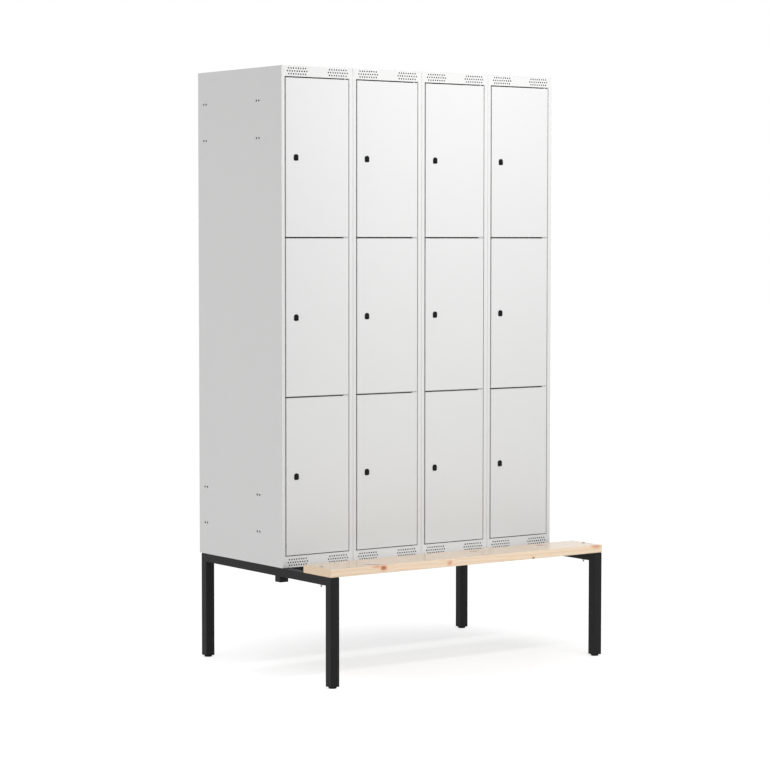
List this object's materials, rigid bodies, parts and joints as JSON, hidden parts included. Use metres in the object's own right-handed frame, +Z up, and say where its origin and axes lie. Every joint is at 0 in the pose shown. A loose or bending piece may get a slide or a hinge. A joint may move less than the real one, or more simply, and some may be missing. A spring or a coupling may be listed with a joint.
{
  "type": "locker with bench",
  "caption": "Steel clothes locker with stacked hinged doors and cam locks, on a square tube base that carries a wooden bench plank in front.",
  "frame": {"origin": "on the floor, under the middle of the whole object's box", "axes": "+Z up, +X to the right along the doors, +Y from the bench to the locker's back"},
  "size_m": [1.2, 0.85, 2.12],
  "materials": {
    "carcass_paint": "light grey powder coat, satin",
    "door_paint": "light grey powder coat, satin",
    "base_paint": "black powder coat, semi-matt",
    "pine": "pine board under clear lacquer",
    "black_plastic": "black moulded plastic",
    "lock_metal": "black barrel with a zinc-plated cam",
    "zinc": "zinc-plated bolt and nut"
  },
  "bodies": {
    "cabinet": {"end_frame_left": "base_paint", "bench_bolt_left": "zinc", "glide_front_left": "black_plastic", "glide_rear_left": "black_plastic", "end_frame_right": "base_paint", "bench_bolt_right": "zinc", "glide_front_right": "black_plastic", "glide_rear_right": "black_plastic", "cross_beam_front": "base_paint", "cross_beam_rear": "base_paint", "bench_plank": "pine", "carcass_1": "carcass_paint", "shelf_upper_1": "carcass_paint", "shelf_lower_1": "carcass_paint", "carcass_2": "carcass_paint", "shelf_upper_2": "carcass_paint", "shelf_lower_2": "carcass_paint", "carcass_3": "carcass_paint", "shelf_upper_3": "carcass_paint", "shelf_lower_3": "carcass_paint", "carcass_4": "carcass_paint", "shelf_upper_4": "carcass_paint", "shelf_lower_4": "carcass_paint"},
    "door_1_top": {"door_1_top": "door_paint", "lock_housing_1_top": "black_plastic"},
    "lock_1_top": {"lock_barrel_1_top": "lock_metal"},
    "door_1_middle": {"door_1_middle": "door_paint", "lock_housing_1_middle": "black_plastic"},
    "lock_1_middle": {"lock_barrel_1_middle": "lock_metal"},
    "door_1_bottom": {"door_1_bottom": "door_paint", "lock_housing_1_bottom": "black_plastic"},
    "lock_1_bottom": {"lock_barrel_1_bottom": "lock_metal"},
    "door_2_top": {"door_2_top": "door_paint", "lock_housing_2_top": "black_plastic"},
    "lock_2_top": {"lock_barrel_2_top": "lock_metal"},
    "door_2_middle": {"door_2_middle": "door_paint", "lock_housing_2_middle": "black_plastic"},
    "lock_2_middle": {"lock_barrel_2_middle": "lock_metal"},
    "door_2_bottom": {"door_2_bottom": "door_paint", "lock_housing_2_bottom": "black_plastic"},
    "lock_2_bottom": {"lock_barrel_2_bottom": "lock_metal"},
    "door_3_top": {"door_3_top": "door_paint", "lock_housing_3_top": "black_plastic"},
    "lock_3_top": {"lock_barrel_3_top": "lock_metal"},
    "door_3_middle": {"door_3_middle": "door_paint", "lock_housing_3_middle": "black_plastic"},
    "lock_3_middle": {"lock_barrel_3_middle": "lock_metal"},
    "door_3_bottom": {"door_3_bottom": "door_paint", "lock_housing_3_bottom": "black_plastic"},
    "lock_3_bottom": {"lock_barrel_3_bottom": "lock_metal"},
    "door_4_top": {"door_4_top": "door_paint", "lock_housing_4_top": "black_plastic"},
    "lock_4_top": {"lock_barrel_4_top": "lock_metal"},
    "door_4_middle": {"door_4_middle": "door_paint", "lock_housing_4_middle": "black_plastic"},
    "lock_4_middle": {"lock_barrel_4_middle": "lock_metal"},
    "door_4_bottom": {"door_4_bottom": "door_paint", "lock_housing_4_bottom": "black_plastic"},
    "lock_4_bottom": {"lock_barrel_4_bottom": "lock_metal"}
  },
  "joints": [
    {"name": "hinge_1_top", "type": "hinge", "parent": "cabinet", "child": "door_1_top", "pos_m": [-0.33015, -0.118, 1.80467], "axis": [0, 0, 1], "range_deg": [0, 110]},
    {"name": "lock_turn_1_top", "type": "hinge", "parent": "door_1_top", "child": "lock_1_top", "pos_m": [-0.54035, -0.125, 1.80467], "axis": [0, 1, 0], "range_deg": [0, 90]},
    {"name": "hinge_1_middle", "type": "hinge", "parent": "cabinet", "child": "door_1_middle", "pos_m": [-0.33015, -0.118, 1.251], "axis": [0, 0, 1], "range_deg": [0, 110]},
    {"name": "lock_turn_1_middle", "type": "hinge", "parent": "door_1_middle", "child": "lock_1_middle", "pos_m": [-0.54035, -0.125, 1.251], "axis": [0, 1, 0], "range_deg": [0, 90]},
    {"name": "hinge_1_bottom", "type": "hinge", "parent": "cabinet", "child": "door_1_bottom", "pos_m": [-0.33015, -0.118, 0.69733], "axis": [0, 0, 1], "range_deg": [0, 110]},
    {"name": "lock_turn_1_bottom", "type": "hinge", "parent": "door_1_bottom", "child": "lock_1_bottom", "pos_m": [-0.54035, -0.125, 0.69733], "axis": [0, 1, 0], "range_deg": [0, 90]},
    {"name": "hinge_2_top", "type": "hinge", "parent": "cabinet", "child": "door_2_top", "pos_m": [-0.03015, -0.118, 1.80467], "axis": [0, 0, 1], "range_deg": [0, 110]},
    {"name": "lock_turn_2_top", "type": "hinge", "parent": "door_2_top", "child": "lock_2_top", "pos_m": [-0.24035, -0.125, 1.80467], "axis": [0, 1, 0], "range_deg": [0, 90]},
    {"name": "hinge_2_middle", "type": "hinge", "parent": "cabinet", "child": "door_2_middle", "pos_m": [-0.03015, -0.118, 1.251], "axis": [0, 0, 1], "range_deg": [0, 110]},
    {"name": "lock_turn_2_middle", "type": "hinge", "parent": "door_2_middle", "child": "lock_2_middle", "pos_m": [-0.24035, -0.125, 1.251], "axis": [0, 1, 0], "range_deg": [0, 90]},
    {"name": "hinge_2_bottom", "type": "hinge", "parent": "cabinet", "child": "door_2_bottom", "pos_m": [-0.03015, -0.118, 0.69733], "axis": [0, 0, 1], "range_deg": [0, 110]},
    {"name": "lock_turn_2_bottom", "type": "hinge", "parent": "door_2_bottom", "child": "lock_2_bottom", "pos_m": [-0.24035, -0.125, 0.69733], "axis": [0, 1, 0], "range_deg": [0, 90]},
    {"name": "hinge_3_top", "type": "hinge", "parent": "cabinet", "child": "door_3_top", "pos_m": [0.26985, -0.118, 1.80467], "axis": [0, 0, 1], "range_deg": [0, 110]},
    {"name": "lock_turn_3_top", "type": "hinge", "parent": "door_3_top", "child": "lock_3_top", "pos_m": [0.05965, -0.125, 1.80467], "axis": [0, 1, 0], "range_deg": [0, 90]},
    {"name": "hinge_3_middle", "type": "hinge", "parent": "cabinet", "child": "door_3_middle", "pos_m": [0.26985, -0.118, 1.251], "axis": [0, 0, 1], "range_deg": [0, 110]},
    {"name": "lock_turn_3_middle", "type": "hinge", "parent": "door_3_middle", "child": "lock_3_middle", "pos_m": [0.05965, -0.125, 1.251], "axis": [0, 1, 0], "range_deg": [0, 90]},
    {"name": "hinge_3_bottom", "type": "hinge", "parent": "cabinet", "child": "door_3_bottom", "pos_m": [0.26985, -0.118, 0.69733], "axis": [0, 0, 1], "range_deg": [0, 110]},
    {"name": "lock_turn_3_bottom", "type": "hinge", "parent": "door_3_bottom", "child": "lock_3_bottom", "pos_m": [0.05965, -0.125, 0.69733], "axis": [0, 1, 0], "range_deg": [0, 90]},
    {"name": "hinge_4_top", "type": "hinge", "parent": "cabinet", "child": "door_4_top", "pos_m": [0.56985, -0.118, 1.80467], "axis": [0, 0, 1], "range_deg": [0, 110]},
    {"name": "lock_turn_4_top", "type": "hinge", "parent": "door_4_top", "child": "lock_4_top", "pos_m": [0.35965, -0.125, 1.80467], "axis": [0, 1, 0], "range_deg": [0, 90]},
    {"name": "hinge_4_middle", "type": "hinge", "parent": "cabinet", "child": "door_4_middle", "pos_m": [0.56985, -0.118, 1.251], "axis": [0, 0, 1], "range_deg": [0, 110]},
    {"name": "lock_turn_4_middle", "type": "hinge", "parent": "door_4_middle", "child": "lock_4_middle", "pos_m": [0.35965, -0.125, 1.251], "axis": [0, 1, 0], "range_deg": [0, 90]},
    {"name": "hinge_4_bottom", "type": "hinge", "parent": "cabinet", "child": "door_4_bottom", "pos_m": [0.56985, -0.118, 0.69733], "axis": [0, 0, 1], "range_deg": [0, 110]},
    {"name": "lock_turn_4_bottom", "type": "hinge", "parent": "door_4_bottom", "child": "lock_4_bottom", "pos_m": [0.35965, -0.125, 0.69733], "axis": [0, 1, 0], "range_deg": [0, 90]}
  ]
}
